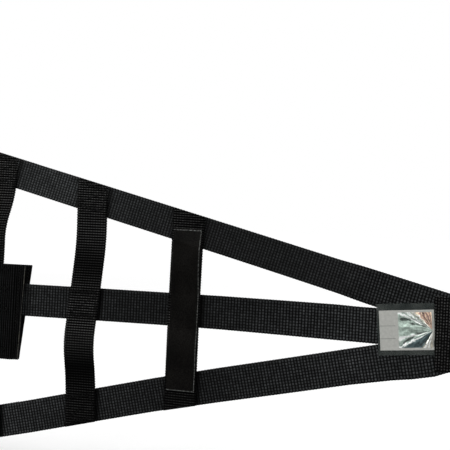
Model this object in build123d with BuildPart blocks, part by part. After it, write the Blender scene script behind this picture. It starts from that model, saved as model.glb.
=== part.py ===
"""Webbing restraint net for the side of a racing seat.

Three flat straps fan out from a common front strap to the rear. Three uprights are sewn
across them on the outer side. A wide belt at the back goes round a cage tube, the two
outer straps end in bolt-in brackets, and the front strap ends in a quick-release buckle.

Frame, in millimetres: X runs forward along the net, Z up, Y inward, away from someone
who looks at the outer side. The origin is on the axis of the tube that the belt holds,
at half the belt's width.
"""
from build123d import *
from math import asin, atan2, cos, degrees, hypot, radians, sin, tan
import os

# Webbing
web_t = 1.8
strap_w = 25.4
belt_w = 76.2
front_w = 54.0

# Layout of the net, along X and Z
mid_z = 10.0
fan_deg = (14.4, 13.8)
upright_top_x = (114.0, 192.0, 271.5)
upright_margin = 0.06
front_z = 7.0

# Lean of each upright: share of the way from the middle to the outer edge, and shift along X
rear_lean = ((1.0, 0.0), (0.8, 0.0), (0.66, -2.0), (0.5, -6.3), (0.3, -7.2), (0.0, -8.3), (-0.4, -8.5), (-1.0, -3.0))
centre_lean = ((1.0, 0.0), (0.5, 1.2), (0.1, -1.6), (-0.34, -5.2), (-0.62, -1.8), (-1.0, 0.0))
front_lean = ((1.0, 0.0), (0.0, -0.4), (-1.0, 0.0))

# Bars that webbing loops round, on every plate
bar_r = 1.5
bar_gap = 0.3
bar_slot_gap = 3.2
arm_w = 5.5
arm_gap = 1.0
arm_back = 4.5
loop_run = 20.0

# Rear belt, its tube and its three-bar slide
tube_r = 22.2
belt_front_x = 137.0
tail_front_x = 140.5
belt_step = 3.0
belt_step_gap = 2.5
belt_bend_r = 3.0
far_run_x = 88.0
return_stop = 17.0
tail_lift = 12.0
tail_stop = 70.0
slide_at = 43.0
slide_l = 36.0
slide_bar = 5.0
slide_bar_t = 2.5
slide_rail = 4.0
slide_gap = 0.1

# Rear bolt-in brackets
rear_bar_s = (458.0, 462.0)
rear_lap = 5.0
rear_tail = 46.0
rear_reach = 36.0

# Bracket plates in common
bracket_bridge = 6.0
eye_r = 13.0
bolt_hole_r = 5.8

# Front strap, tongue and buckle
tongue_x = 542.0
front_fold = 40.0
front_lap = 83.0
fan_back = (22.0, 18.0)
tongue_bridge = 8.0
tongue_taper = 8.0
blade_w = 36.0
blade_l = 40.0
blade_window_x = 12.0
blade_window_z = 15.0
blade_tip = 14.0
blade_fit = 0.5
case_gap = 3.0
case_l = 74.0
case_w = 62.0
case_t = 22.0
case_round = 5.0
case_edge = 2.0
grip_r = 40.0
grip_deep = 1.4
mouth_lead = 1.2
button_w = 26.0
button_back = 4.0
button_fit = 0.5
button_proud = 1.5
dish_r = 60.0
dish_deep = 1.0
button_floor = 2.5
frame_w = 44.0
frame_in = 28.0
frame_out = 22.0
frame_fit = 0.05
sling_l = 74.0
front_reach = 44.0

# Woven label and foil tag
label_w = 22.0
label_l = 125.0
label_t = 0.6
label_shift = 0.7
tag_w = 39.0
tag_h = 29.0
tag_t = 0.4
tag_back = 20.0
tag_z = 8.1
tag_turn = 5.2
film_w = 43.0
film_h = 36.0
film_back = 22.0
film_t = 0.4

# Values that follow from those above
mid_y = web_t
loop_r = bar_r + bar_gap
plate_t = 2 * bar_r
slot_end = loop_r + web_t + bar_slot_gap
strap_end_x = tongue_x - front_fold
front_edge_x = tongue_x - front_lap
fan_x = [tongue_x - back for back in fan_back]
tag_x = front_edge_x - tag_back
film_x = front_edge_x - film_back
fan_rise = [tan(radians(angle)) for angle in fan_deg]
half_edge = [strap_w / 2 / cos(radians(angle)) for angle in fan_deg]
blade_x = tongue_x + slot_end + tongue_bridge + tongue_taper
blade_end_x = blade_x + blade_l
case_x = blade_x + case_gap
frame_x = case_x + case_l - frame_in
frame_bar_x = case_x + case_l + frame_out
front_bar_x = frame_bar_x + sling_l

# Where the far run of the belt leaves the tube, and the plane along that run
run_y = 1.5 * web_t
tube_path_r = tube_r + web_t / 2
tangent_turn = 90 - degrees(asin(tube_path_r / hypot(far_run_x, run_y)))
tangent_at = radians(tangent_turn + degrees(atan2(run_y, far_run_x)))
tangent_x = tube_path_r * cos(tangent_at)
tangent_y = tube_path_r * sin(tangent_at)
far_run = Plane(
    origin=(far_run_x, run_y, 0),
    x_dir=(tangent_x - far_run_x, tangent_y - run_y, 0),
    z_dir=(0, 0, -1),
)


def strap_plane(up):
    """Plane along the top strap, up 1, or the bottom one, up -1: x runs to the rear, y through it."""
    which = 0 if up > 0 else 1
    angle = radians(fan_deg[which]) * up
    return Plane(
        origin=(fan_x[which], 0, mid_z),
        x_dir=(-cos(angle), 0, sin(angle)),
        z_dir=(-sin(angle), 0, -cos(angle)),
    )


def plate_plane(origin, x_dir):
    """Plane midway through a plate that a strap's loop holds, x running away from the loop."""
    return Plane(origin=origin, x_dir=x_dir, z_dir=(0, -1, 0))


def webbing_loop(bar_x, flat_x, gap):
    """Two layers that leave flat_x at plus and minus gap, and turn round a bar at bar_x."""
    for turn_r, flat_half, mode in ((loop_r + web_t, gap + web_t, Mode.ADD), (loop_r, gap, Mode.SUBTRACT)):
        with Locations((bar_x, mid_y)):
            Circle(turn_r, mode=mode)
        with BuildLine() as flare:
            Line((bar_x, mid_y + turn_r), (bar_x, mid_y - turn_r))
            Line((bar_x, mid_y - turn_r), (flat_x, mid_y - flat_half))
            if flat_half > 0:
                Line((flat_x, mid_y - flat_half), (flat_x, mid_y + flat_half))
            Line((flat_x, mid_y + flat_half), (bar_x, mid_y + turn_r))
        make_face(flare.edges(), mode=mode)


def layer(x0, x1, y0):
    """One flat layer of webbing between two stations, its outer face at y0."""
    with Locations(((x0 + x1) / 2, y0 + web_t / 2)):
        Rectangle(abs(x1 - x0), web_t)


def loop_slot(webbing_w):
    """Open-ended slot that leaves the two arms of a plate beside its webbing."""
    with Locations(((slot_end - 2 * arm_back) / 2, 0)):
        Rectangle(slot_end + 2 * arm_back, webbing_w + 2 * arm_gap, mode=Mode.SUBTRACT)


def plate_bar(plane, webbing_w):
    """Round bar between the arms of a plate, made as a revolved half section."""
    with BuildSketch(plane) as half_bar:
        with Locations((bar_r / 2, 0)):
            Rectangle(bar_r, webbing_w + 2 * arm_gap)
    revolve(half_bar.sketch, axis=Axis(plane.origin, plane.y_dir))


def bracket(plane, webbing_w, reach):
    """Bolt-in bracket: arms and bar for the webbing, then a plate that narrows to an eye."""
    plate_w = webbing_w + 2 * arm_gap + 2 * arm_w
    with BuildSketch(plane) as outline:
        with Locations(((slot_end + bracket_bridge - arm_back) / 2, 0)):
            RectangleRounded(slot_end + bracket_bridge + arm_back, plate_w, arm_back / 2)
        with Locations((reach, 0)):
            Circle(eye_r)
        make_hull()
        loop_slot(webbing_w)
        with Locations((reach, 0)):
            Circle(bolt_hole_r, mode=Mode.SUBTRACT)
    extrude(outline.sketch, amount=plate_t / 2, both=True)
    plate_bar(plane, webbing_w)


pieces = []


def keep(piece, name):
    """Label a finished piece and put it on the list to write."""
    piece.part.label = name
    pieces.append(piece.part)


# Fanned straps, sewn together under the front strap
rear_flat_s = [bar_s - loop_run for bar_s in rear_bar_s]
for name, up, flat_s in (("top_strap", 1, rear_flat_s[0]), ("bottom_strap", -1, rear_flat_s[1])):
    with BuildPart() as fan_strap:
        with BuildSketch(strap_plane(up)):
            layer(0, flat_s - rear_lap, 0)
        extrude(amount=strap_w / 2, both=True)
        split(bisect_by=Plane.XY.offset(mid_z), keep=Keep.TOP if up > 0 else Keep.BOTTOM)
        split(bisect_by=Plane.YZ.offset(strap_end_x), keep=Keep.BOTTOM)
    keep(fan_strap, name)

# Their rear ends, looped round the bars of the rear brackets and sewn back on themselves
for name, up, flat_s in (("top_loop", 1, rear_flat_s[0]), ("bottom_loop", -1, rear_flat_s[1])):
    with BuildPart() as rear_loop:
        with BuildSketch(strap_plane(up)):
            webbing_loop(flat_s + loop_run, flat_s, 0)
            layer(flat_s - rear_lap, flat_s, 0)
            layer(flat_s - rear_tail, flat_s, web_t)
        extrude(amount=strap_w / 2, both=True)
    keep(rear_loop, name)

# Middle strap, level, which steps behind the other two where they meet
meet_x = min(x - (strap_w / 2 + half) / rise for x, half, rise in zip(fan_x, half_edge, fan_rise))
rear_left_x = upright_top_x[0] + min(shift for share, shift in rear_lean) - strap_w / 2
middle_rear_x = rear_left_x
with BuildPart() as middle_strap:
    with BuildSketch(Plane.XY.offset(mid_z)):
        with BuildLine() as middle_path:
            FilletPolyline(
                (middle_rear_x, web_t / 2),
                (meet_x - 12 * web_t, web_t / 2),
                (meet_x - 3 * web_t, 3 * web_t / 2),
                (strap_end_x, 3 * web_t / 2),
                radius=10 * web_t,
            )
        trace(middle_path.line, line_width=web_t)
    extrude(amount=strap_w / 2, both=True)
keep(middle_strap, "middle_strap")


def edge_z(x, up):
    """Height of the outer edge of a fanned strap at a station."""
    which = 0 if up > 0 else 1
    return mid_z + up * ((fan_x[which] - x) * fan_rise[which] + half_edge[which])


def upright_edge(top_x, lean, side):
    """Points of an upright's edge from above the fan to below it, side -1 to the rear and 1 to the front."""
    (top_share, top_shift), (low_share, low_shift) = lean[0], lean[-1]
    ends = ((top_share + upright_margin, top_shift), *lean, (low_share - upright_margin, low_shift))
    points = []
    for share, shift in ends:
        up = 1 if share > 0 else -1
        points.append((top_x + shift + side * strap_w / 2, mid_z + abs(share) * (edge_z(top_x, up) - mid_z)))
    return points


# Uprights, across the outer side of the three straps, cut off along the fan's outer edges
leans = (rear_lean, centre_lean, front_lean)
for name, top_x, lean in zip(("rear_upright", "centre_upright", "front_upright"), upright_top_x, leans):
    rear_edge, front_edge = upright_edge(top_x, lean, -1), upright_edge(top_x, lean, 1)
    low_x, high_x = top_x - 2 * strap_w, top_x + 2 * strap_w
    with BuildPart() as upright:
        with BuildSketch(Plane.XZ):
            with BuildLine():
                Spline(*rear_edge)
                Spline(*front_edge)
                Line(rear_edge[0], front_edge[0])
                Line(rear_edge[-1], front_edge[-1])
            make_face()
            with BuildLine():
                Polyline(
                    (low_x, edge_z(low_x, -1)),
                    (low_x, edge_z(low_x, 1)),
                    (high_x, edge_z(high_x, 1)),
                    (high_x, edge_z(high_x, -1)),
                    close=True,
                )
            make_face(mode=Mode.INTERSECT)
        extrude(amount=web_t)
    keep(upright, name)

# Woven label down the front upright
with BuildPart() as upright_label:
    with BuildSketch(Plane.XZ.offset(web_t)):
        with Locations((upright_top_x[-1] - label_shift, mid_z + label_shift)):
            Rectangle(label_w, label_l)
    extrude(amount=label_t)
keep(upright_label, "upright_label")

# Foil tag on its film, where the straps meet
with BuildPart() as tag_film:
    with BuildSketch(Plane.XZ):
        with Locations((film_x, tag_z)):
            Rectangle(film_w, film_h, rotation=tag_turn)
    extrude(amount=film_t)
    split(bisect_by=Plane.YZ.offset(front_edge_x), keep=Keep.BOTTOM)
keep(tag_film, "tag_film")

with BuildPart() as foil_tag:
    with BuildSketch(Plane.XZ.offset(film_t)):
        with Locations((tag_x, tag_z)):
            Rectangle(tag_w, tag_h, rotation=tag_turn)
    extrude(amount=tag_t)
    split(bisect_by=Plane.YZ.offset(front_edge_x), keep=Keep.BOTTOM)
keep(foil_tag, "foil_tag")

# Rear belt: one run on the outer side, round the tube, and back along the far side
step_x = upright_top_x[0] + strap_w / 2 + belt_step_gap
outer_x = rear_left_x - belt_step_gap
return_end = far_run.from_local_coords((return_stop, 0))
with BuildPart() as rear_belt:
    with BuildSketch():
        with BuildLine() as belt_path:
            FilletPolyline(
                (belt_front_x, -web_t / 2),
                (step_x + belt_step, -web_t / 2),
                (step_x, -run_y),
                (outer_x, -run_y),
                (tangent_x, -tangent_y),
                radius=belt_bend_r,
            )
            ThreePointArc((tangent_x, -tangent_y), (-tube_path_r, 0), (tangent_x, tangent_y))
            Line((tangent_x, tangent_y), (return_end.X, return_end.Y))
        trace(belt_path.line, line_width=web_t)
    extrude(amount=belt_w / 2, both=True)
keep(rear_belt, "rear_belt")

# Second layer of the belt: sewn behind the net, then along the far run and through the slide
tail_points = [far_run.from_local_coords(p) for p in ((tail_lift, web_t), (tail_stop, web_t))]
with BuildPart() as belt_tail:
    with BuildSketch():
        with BuildLine() as tail_path:
            FilletPolyline(
                (tail_front_x, run_y),
                (far_run_x, run_y),
                (tail_points[0].X, tail_points[0].Y),
                (tail_points[1].X, tail_points[1].Y),
                radius=belt_bend_r,
            )
        trace(tail_path.line, line_width=web_t)
    extrude(amount=belt_w / 2, both=True)
keep(belt_tail, "belt_tail")

# Three-bar slide that clamps the two layers of the far run
slide_outer = 1.5 * web_t + slide_gap
slide_inner = 0.5 * web_t + slide_gap
slide_reach = slide_l / 2 - slide_bar / 2
slide_span = belt_w / 2 + slide_gap * 5
with BuildPart() as belt_slide:
    with BuildSketch(far_run):
        with Locations((slide_at - slide_reach, slide_outer + slide_bar_t / 2)):
            RectangleRounded(slide_bar, slide_bar_t, slide_bar_t * 0.4)
        with Locations((slide_at + slide_reach, slide_outer + slide_bar_t / 2)):
            RectangleRounded(slide_bar, slide_bar_t, slide_bar_t * 0.4)
        with Locations((slide_at, -slide_inner - slide_bar_t / 2)):
            RectangleRounded(slide_bar, slide_bar_t, slide_bar_t * 0.4)
    extrude(amount=slide_span, both=True)
    rail_t = slide_outer + slide_inner + 2 * slide_bar_t
    for side in (1, -1):
        with BuildSketch(far_run.offset(side * (slide_span + slide_rail / 2))):
            with Locations((slide_at, (slide_outer - slide_inner) / 2)):
                RectangleRounded(slide_l, rail_t, slide_bar_t)
        extrude(amount=slide_rail / 2, both=True)
keep(belt_slide, "belt_slide")

# Front strap: two layers over the straps' ends, looped round the tongue's bar
with BuildPart() as front_strap:
    with BuildSketch(Plane.XY.offset(front_z)):
        webbing_loop(tongue_x, strap_end_x, web_t)
        layer(front_edge_x, strap_end_x, -web_t)
        layer(front_edge_x, strap_end_x, 2 * web_t)
    extrude(amount=front_w / 2, both=True)
keep(front_strap, "front_strap")

# Rear brackets
for name, up, bar_s in (("top_anchor", 1, rear_bar_s[0]), ("bottom_anchor", -1, rear_bar_s[1])):
    along = strap_plane(up)
    bar_point = along.from_local_coords((bar_s, mid_y, 0))
    with BuildPart() as rear_bracket:
        bracket(plate_plane(bar_point, along.x_dir), strap_w, rear_reach)
    keep(rear_bracket, name)

# Tongue of the buckle
tongue_plane = plate_plane((tongue_x, mid_y, front_z), (1, 0, 0))
tongue_w = front_w + 2 * arm_gap + 2 * arm_w
with BuildPart() as tongue:
    with BuildSketch(tongue_plane):
        with Locations(((slot_end + tongue_bridge - arm_back) / 2, 0)):
            Rectangle(slot_end + tongue_bridge + arm_back, tongue_w)
        with BuildLine():
            Polyline(
                (slot_end + tongue_bridge, tongue_w / 2),
                (blade_x - tongue_x, blade_w / 2),
                (blade_end_x - tongue_x, blade_w / 2),
                (blade_end_x - tongue_x, -blade_w / 2),
                (blade_x - tongue_x, -blade_w / 2),
                (slot_end + tongue_bridge, -tongue_w / 2),
                close=True,
            )
        make_face()
        loop_slot(front_w)
        with Locations((blade_end_x - tongue_x - blade_tip, 0)):
            RectangleRounded(blade_window_x, blade_window_z, 2, mode=Mode.SUBTRACT)
    extrude(amount=plate_t / 2, both=True)
    fillet(tongue.edges().filter_by(Axis.Y).group_by(Axis.X)[-1], blade_w / 9)
    plate_bar(tongue_plane, front_w)
keep(tongue, "tongue")

# Case of the buckle, with its grips, its mouth, its window for the button and its seat for the frame
case_plane = Plane(origin=(case_x, mid_y, front_z), x_dir=(1, 0, 0), z_dir=(0, -1, 0))
button_x = case_l / 2 - button_back
window_w = button_w + 2 * button_fit
with BuildPart() as buckle_case:
    with BuildSketch(case_plane):
        with Locations((case_l / 2, 0)):
            RectangleRounded(case_l, case_w, case_round)
        for side in (1, -1):
            with Locations((case_l / 2, side * (case_w / 2 + grip_r - grip_deep))):
                Circle(grip_r, mode=Mode.SUBTRACT)
    extrude(amount=case_t / 2, both=True)
    fillet(buckle_case.faces().filter_by(Axis.Y).edges(), case_edge)
    with BuildSketch(case_plane):
        with Locations(((blade_l - case_gap) / 2 + blade_fit, 0)):
            Rectangle(blade_l - case_gap + 2 * blade_fit, blade_w + 2 * blade_fit)
    extrude(amount=plate_t / 2 + blade_fit, both=True, mode=Mode.SUBTRACT)
    with BuildSketch(Plane.YZ.offset(case_x)):
        with Locations((mid_y, front_z)):
            Rectangle(plate_t + 2 * (blade_fit + mouth_lead), blade_w + 2 * (blade_fit + mouth_lead))
    extrude(amount=mouth_lead, taper=45, mode=Mode.SUBTRACT)
    with BuildSketch(case_plane):
        with Locations((case_l - frame_in / 2, 0)):
            Rectangle(frame_in, frame_w + 2 * frame_fit)
    extrude(amount=plate_t / 2 + frame_fit, both=True, mode=Mode.SUBTRACT)
    button_low = plate_t / 2 + blade_fit + button_floor
    with BuildSketch(case_plane.offset(button_low)):
        with Locations((button_x, 0)):
            RectangleRounded(window_w, window_w, 3)
    extrude(amount=case_t, mode=Mode.SUBTRACT)
keep(buckle_case, "buckle_case")

# Push button in its window, with a dish for a finger
with BuildPart() as buckle_button:
    with BuildSketch(case_plane.offset(button_low + button_fit)):
        with Locations((button_x, 0)):
            RectangleRounded(button_w, button_w, 2.5)
    extrude(amount=case_t / 2 + button_proud - button_low - button_fit)
    fillet(buckle_button.faces().sort_by(Axis.Y)[0].edges(), 1)
    press_y = mid_y - case_t / 2 - button_proud
    with Locations((case_x + button_x, press_y + dish_deep - dish_r, front_z)):
        Sphere(dish_r, mode=Mode.SUBTRACT)
keep(buckle_button, "buckle_button")

# Frame plate of the buckle, with the bar for the sling
frame_plane = plate_plane((frame_bar_x, mid_y, front_z), (-1, 0, 0))
frame_head_w = front_w + 2 * arm_gap + 2 * arm_w
with BuildPart() as buckle_frame:
    with BuildSketch(frame_plane):
        with Locations(((slot_end + bracket_bridge - arm_back) / 2, 0)):
            RectangleRounded(slot_end + bracket_bridge + arm_back, frame_head_w, arm_back / 2)
        with Locations(((slot_end + frame_bar_x - frame_x) / 2, 0)):
            Rectangle(frame_bar_x - frame_x - slot_end, frame_w)
        loop_slot(front_w)
    extrude(amount=plate_t / 2, both=True)
    plate_bar(frame_plane, front_w)
keep(buckle_frame, "buckle_frame")

# Sling between the buckle and the front bracket, looped at both ends
with BuildPart() as anchor_sling:
    with BuildSketch(Plane.XY.offset(front_z)):
        webbing_loop(frame_bar_x, frame_bar_x + loop_run, 0)
        webbing_loop(front_bar_x, front_bar_x - loop_run, 0)
        layer(frame_bar_x + loop_run, front_bar_x - loop_run, 0)
        layer(frame_bar_x + loop_run, front_bar_x - loop_run, web_t)
    extrude(amount=front_w / 2, both=True)
keep(anchor_sling, "anchor_sling")

# Front bracket
with BuildPart() as front_anchor:
    bracket(plate_plane((front_bar_x, mid_y, front_z), (1, 0, 0)), front_w, front_reach)
keep(front_anchor, "front_anchor")

os.makedirs("parts", exist_ok=True)
for piece in pieces:
    export_step(piece, f"parts/{piece.label}.step")
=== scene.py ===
"""Side restraint net for a racing seat: its webbing, stitching, tag and hardware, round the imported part."""
from math import asin, atan2, cos, hypot, pi, radians, sin, tan

import bmesh
import bpy
import numpy as np
from mathutils import Matrix, Vector, noise as spread
from mathutils.kdtree import KDTree


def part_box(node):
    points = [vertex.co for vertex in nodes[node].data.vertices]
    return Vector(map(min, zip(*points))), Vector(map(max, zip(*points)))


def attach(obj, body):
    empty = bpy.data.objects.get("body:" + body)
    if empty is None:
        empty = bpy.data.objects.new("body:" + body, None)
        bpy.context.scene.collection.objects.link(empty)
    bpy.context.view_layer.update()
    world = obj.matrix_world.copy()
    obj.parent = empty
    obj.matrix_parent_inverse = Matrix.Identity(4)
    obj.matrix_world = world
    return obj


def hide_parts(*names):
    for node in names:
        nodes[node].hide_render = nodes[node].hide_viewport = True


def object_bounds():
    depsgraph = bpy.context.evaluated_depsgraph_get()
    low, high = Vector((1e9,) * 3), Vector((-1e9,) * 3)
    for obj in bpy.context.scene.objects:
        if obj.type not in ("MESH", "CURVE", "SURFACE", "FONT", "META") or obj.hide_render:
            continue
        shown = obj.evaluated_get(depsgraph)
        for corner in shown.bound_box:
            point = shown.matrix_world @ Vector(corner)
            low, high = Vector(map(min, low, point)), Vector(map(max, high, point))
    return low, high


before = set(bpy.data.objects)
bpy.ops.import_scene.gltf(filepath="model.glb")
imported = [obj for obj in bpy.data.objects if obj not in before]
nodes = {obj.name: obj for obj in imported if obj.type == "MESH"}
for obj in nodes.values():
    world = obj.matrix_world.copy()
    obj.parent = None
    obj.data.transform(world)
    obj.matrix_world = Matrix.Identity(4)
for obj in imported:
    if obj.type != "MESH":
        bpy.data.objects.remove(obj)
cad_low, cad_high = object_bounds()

# Camera
# A long view of the outer side, level with the net and a little forward of its middle.
# The camera is turned about its own axis, because the photograph was held slightly off level.
view_turn, view_roll, view_distance = radians(12.692), radians(2.85), 0.647
view_target = Vector((0.300, 0.0, 0.07766))
view_back = Vector((sin(view_turn), -cos(view_turn), 0))
view_level = Vector((cos(view_turn), sin(view_turn), 0))
view_right = view_level * cos(view_roll) + Vector((0, 0, sin(view_roll)))
view_up = view_back.cross(view_right)
camera_data = bpy.data.cameras.new("camera")
camera_data.sensor_width, camera_data.lens = 36.0, 68.0
camera_data.clip_start, camera_data.clip_end = 0.01, 100.0
camera = bpy.data.objects.new("camera", camera_data)
bpy.context.scene.collection.objects.link(camera)
camera.matrix_world = Matrix.Translation(view_target + view_distance * view_back) @ Matrix(
    (view_right, view_up, view_back)
).transposed().to_4x4()
bpy.context.scene.camera = camera
bpy.context.scene.view_settings.view_transform = "Standard"

# Floor, backdrop and lights
# A wide pale floor just under the net, which keeps its shadow and pales away from it into a white world.
# Soft boxes stand in for an open sky: one high in front, one low towards the rear end, one behind.


def shader(name):
    """New material, and its Principled shader."""
    material = bpy.data.materials.new(name)
    material.use_nodes = True
    return material, material.node_tree.nodes["Principled BSDF"]


def is_link(value):
    """Whether a value is another node's output."""
    return isinstance(value, bpy.types.NodeSocket)


def put(made, values):
    """Put each value or link in its input of a node."""
    for socket, value in values.items():
        if is_link(value):
            made.id_data.links.new(value, made.inputs[socket])
        else:
            made.inputs[socket].default_value = value


def new_node(other, kind, **settings):
    """New node in the tree of another node or link, with its own settings."""
    made = other.id_data.nodes.new(kind)
    for setting, value in settings.items():
        setattr(made, setting, value)
    return made


def node(kind, values, **settings):
    """New node beside those it is linked from, with the values and links of its inputs."""
    made = new_node(next(filter(is_link, values.values())), kind, **settings)
    put(made, values)
    return made


def math(operation, *values):
    """Output of a Math node."""
    return node("ShaderNodeMath", dict(enumerate(values)), operation=operation).outputs[0]


def product(first, *others):
    """Values multiplied together."""
    for other in others:
        first = math("MULTIPLY", first, other)
    return first


def span(value, low, high, to_low=0.0, to_high=1.0):
    """A value taken from one range to another, and kept inside it."""
    ends = {"Value": value, "From Min": low, "From Max": high, "To Min": to_low, "To Max": to_high}
    return node("ShaderNodeMapRange", ends).outputs[0]


def blend(factor, low, high):
    """Mix of two colours, each three numbers or a link."""
    ends = {"Factor": factor}
    for socket, colour in (("A", low), ("B", high)):
        ends[socket] = colour if is_link(colour) else (*colour, 1)
    return node("ShaderNodeMix", ends, data_type="RGBA").outputs["Result"]


def noise(place, scale, detail=2.0, distortion=0.0):
    """Noise on a place, as a number."""
    values = {"Vector": place, "Scale": scale, "Detail": detail, "Distortion": distortion}
    return node("ShaderNodeTexNoise", values).outputs["Fac"]


def object_place(surface):
    """Place on the piece, in metres."""
    return new_node(surface, "ShaderNodeTexCoord").outputs["Object"]


def axes_of(vector):
    """The three parts of a vector, by name."""
    return node("ShaderNodeSeparateXYZ", {0: vector}).outputs


def stretched(vector, by):
    """A vector with each part multiplied by its own number."""
    return node("ShaderNodeVectorMath", {0: vector, 1: by}, operation="MULTIPLY").outputs[0]


def scaled(vector, by):
    """A vector or colour multiplied by one value."""
    return node("ShaderNodeVectorMath", {0: vector, "Scale": by}, operation="SCALE").outputs[0]


def distance(place, spot):
    """Distance of a place from a spot."""
    return node("ShaderNodeVectorMath", {0: place, 1: spot}, operation="DISTANCE").outputs["Value"]


def relief(surface, height, deep):
    """Bump of a height on a shader."""
    bump = node("ShaderNodeBump", {"Height": height, "Distance": deep, "Strength": 1.0})
    put(surface, {"Normal": bump.outputs[0]})


def link_object(name, mesh):
    """New object of a mesh, in the scene."""
    made = bpy.data.objects.new(name, mesh)
    bpy.context.scene.collection.objects.link(made)
    return made


def mesh_of(name, bm):
    """Mesh of a finished bmesh."""
    mesh = bpy.data.meshes.new(name)
    bm.to_mesh(mesh)
    bm.free()
    return mesh


floor_drop, floor_half = 0.004, 30
floor_bm = bmesh.new()
floor_place = Matrix.Translation((view_target.x, 0, cad_low.z - floor_drop))
bmesh.ops.create_grid(floor_bm, x_segments=1, y_segments=1, size=floor_half, matrix=floor_place)
floor = link_object("floor", mesh_of("floor", floor_bm))
floor_paint, surface = shader("floor_paint")
put(surface, {"Base Color": (0.36, 0.36, 0.36, 1), "Roughness": 0.9, "Specular IOR Level": 0.1})
away = node("ShaderNodeVectorMath", {0: object_place(surface)}, operation="LENGTH").outputs["Value"]
seen = new_node(surface, "ShaderNodeLightPath").outputs["Is Camera Ray"]
glow = product(span(away, 0.5, 3.0, 0.62, 0.85), seen)
put(surface, {"Emission Color": (1, 1, 1, 1), "Emission Strength": glow})
floor.data.materials.append(floor_paint)

world = bpy.data.worlds.new("world")
bpy.context.scene.world = world
world.use_nodes = True
background = world.node_tree.nodes["Background"]
path = new_node(background, "ShaderNodeLightPath").outputs
seen = math("MAXIMUM", path["Is Camera Ray"], path["Is Glossy Ray"])
seen = math("MAXIMUM", seen, path["Is Transmission Ray"])
strength = span(seen, 0.0, 1.0, 0.36, 1.0)
put(background, {"Color": (1, 1, 1, 1), "Strength": strength})

lamp_aim = Vector((0.35, 0, 0))
for name, place, size, power in (
    ("sky_light", (0.15, -0.55, 1.6), 1.0, 26),
    ("side_light", (-0.9, -0.8, 0.45), 0.3, 5),
    ("back_light", (0.9, 1.5, 1.2), 1.2, 10),
):
    lamp_data = bpy.data.lights.new(name, "AREA")
    lamp_data.size, lamp_data.energy = size, power
    lamp = bpy.data.objects.new(name, lamp_data)
    lamp.location = place
    lamp.rotation_euler = (lamp_aim - Vector(place)).to_track_quat("-Z", "Y").to_euler()
    bpy.context.scene.collection.objects.link(lamp)

# Top and bottom straps
# 25 mm black nylon webbing, woven with a fine cross rib. Each leaves the fold of the front strap at
# a slant, and its rear end goes round the bar of a bracket and is sewn back on itself.
web_t, strap_w = 0.0018, 0.0254
mid_y, mid_z = web_t, 0.010
fan = {1: radians(14.4), -1: radians(13.8)}
fan_x = {1: 0.520, -1: 0.524}
rear_bar = {1: 0.458, -1: 0.462}
loop_run, loop_tail, bar_turn = 0.020, 0.046, 0.0027
strap_end_x = 0.502
rib_rows, between_rise, weave_deep = 4, 0.8, 0.0003


def fan_z(x, up):
    """Height of a slanted strap's middle at a station, top strap up 1 and bottom one up -1."""
    return mid_z + up * (fan_x[up] - x) * tan(fan[up])


def edge_z(x, up):
    """Height of a slanted strap's outer edge at a station."""
    return fan_z(x, up) + up * strap_w / 2 / cos(fan[up])


def rise(value, low, high):
    """0 below low, 1 above high, with an even S between them."""
    share = np.clip((value - low) / (high - low), 0, 1)
    return share * share * (3 - 2 * share)


# Station, and how far the middle and the bottom strap bow there, in millimetres
bows = (
    (0.09, -0.8, -0.6), (0.12, -0.6, -0.8), (0.15, -0.3, -0.8), (0.20, 0.2, 0.1), (0.25, 0.6, 0.8),
    (0.30, 0.8, 0.3), (0.35, 0.3, -0.8), (0.40, -0.4, -1.7), (0.43, -0.6, -3.2), (0.445, -0.8, -4.7),
    (0.46, -0.6, -5.2), (0.475, -0.2, -3.0), (0.49, 0.0, 0.0),
)
# Station, and how far the uprights there hang inward above and below the middle strap, in millimetres
slacks = (
    (0.09, 5.0, 6.0), (0.13, 5.0, 6.0), (0.17, 7.5, 13.0), (0.21, 7.5, 13.0), (0.25, 1.2, 1.2),
    (0.285, 1.2, 1.2), (0.300, 0.0, 0.0),
)
# Station, and the top strap's lean there in degrees
leans = ((0.10, 24), (0.20, 20), (0.29, 18), (0.40, 18))
lean_start, lean_stop, lean_fade = (0.083, 0.108), (0.385, 0.418), 0.040
belt_reach, belt_edge_x = 0.0381, 0.150
lens_place = np.array(view_target + view_distance * view_back)


def at_station(x, table, column):
    """Value of a table's column at a station."""
    return np.interp(x, [row[0] for row in table], [row[column] for row in table])


def hang(points):
    """Where points of the flat net lie once it hangs: one strap leans, two bow, the uprights are slack."""
    places = np.array(points, float)
    x, y, z = places.T
    off = (z - fan_z(x, 1)) * cos(fan[1])
    turn = np.radians(at_station(x, leans, 1)) * rise(x, *lean_start) * (1 - rise(x, *lean_stop))
    held = np.clip(off, -strap_w / 2, strap_w / 2)
    fade = 1 - rise(held - off, 0, lean_fade)
    side = np.where(z > mid_z, 1, -1)
    reach = np.where(side > 0, edge_z(x, 1), -edge_z(x, -1) + 2 * mid_z) - mid_z
    share = np.clip((z - mid_z) / np.maximum(reach, strap_w), -1, 1)
    bow = at_station(x, bows, 1) * (1 - np.abs(share))
    bow += at_station(x, bows, 2) * np.maximum(0, -share)
    seam = np.where(x < belt_edge_x, belt_reach - side * mid_z, strap_w / 2)
    free = np.maximum(reach - strap_w / cos(fan[1]) - seam, 0.001)
    into = np.clip((np.abs(z - mid_z) - seam) / free, 0, 1)
    slack = np.where(side > 0, at_station(x, slacks, 1), at_station(x, slacks, 2)) / 1000
    slack *= np.sin(pi * into) ** 2
    deeper = held * np.sin(turn) * fade - slack
    places += (places - lens_place) * (deeper / (y - lens_place[1]))[:, None]
    places[:, 2] += bow / 1000 - held * (1 - np.cos(turn)) * fade
    return places


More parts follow.
